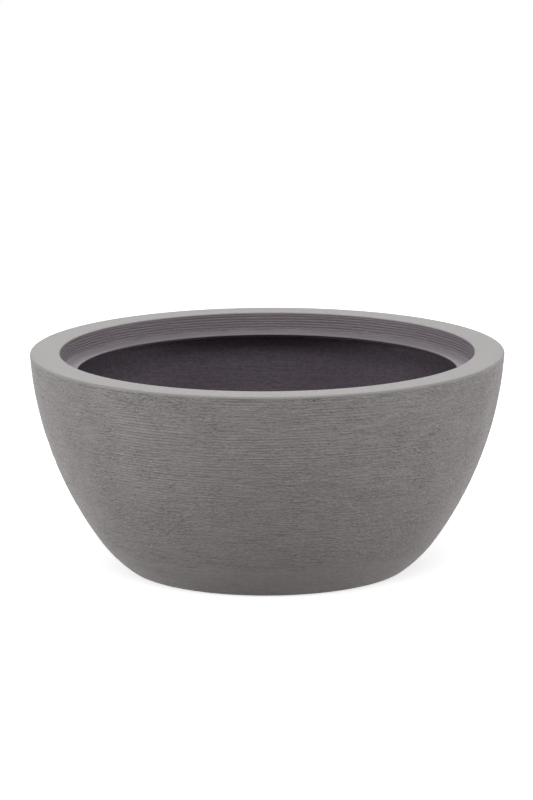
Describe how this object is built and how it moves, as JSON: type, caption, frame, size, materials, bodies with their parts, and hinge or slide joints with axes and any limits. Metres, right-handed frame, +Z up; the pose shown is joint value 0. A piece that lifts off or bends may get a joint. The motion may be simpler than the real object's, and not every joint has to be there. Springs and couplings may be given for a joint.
{
  "type": "bowl planter",
  "caption": "Low round planter bowl with a wide flat rim, a stepped ledge inside it and a dark inner skin; rubber plugs close the drain holes in its floor.",
  "frame": {"origin": "centre of the footprint, on the ground under the bowl", "axes": "+Z up along the bowl's axis; the drain holes lie on the X and Y axes; -Y faces the camera of the picture"},
  "size_m": [0.4999, 0.5, 0.231],
  "materials": {
    "outer_skin": "matte grey with a fine sandy grain; smooth on the rim",
    "inner_skin": "matte charcoal grey",
    "plug_rubber": "matte black"
  },
  "bodies": {
    "bowl": {"outer_shell": "outer_skin", "inner_skin": "inner_skin"},
    "plug_1": {"drain_plug_1": "plug_rubber"},
    "plug_2": {"drain_plug_2": "plug_rubber"},
    "plug_3": {"drain_plug_3": "plug_rubber"},
    "plug_4": {"drain_plug_4": "plug_rubber"}
  },
  "joints": [
    {"name": "plug_1_lift", "type": "slide", "parent": "bowl", "child": "plug_1", "axis": [0, 0, 1], "range_m": [0, 0.25]},
    {"name": "plug_2_lift", "type": "slide", "parent": "bowl", "child": "plug_2", "axis": [0, 0, 1], "range_m": [0, 0.25]},
    {"name": "plug_3_lift", "type": "slide", "parent": "bowl", "child": "plug_3", "axis": [0, 0, 1], "range_m": [0, 0.25]},
    {"name": "plug_4_lift", "type": "slide", "parent": "bowl", "child": "plug_4", "axis": [0, 0, 1], "range_m": [0, 0.25]}
  ]
}
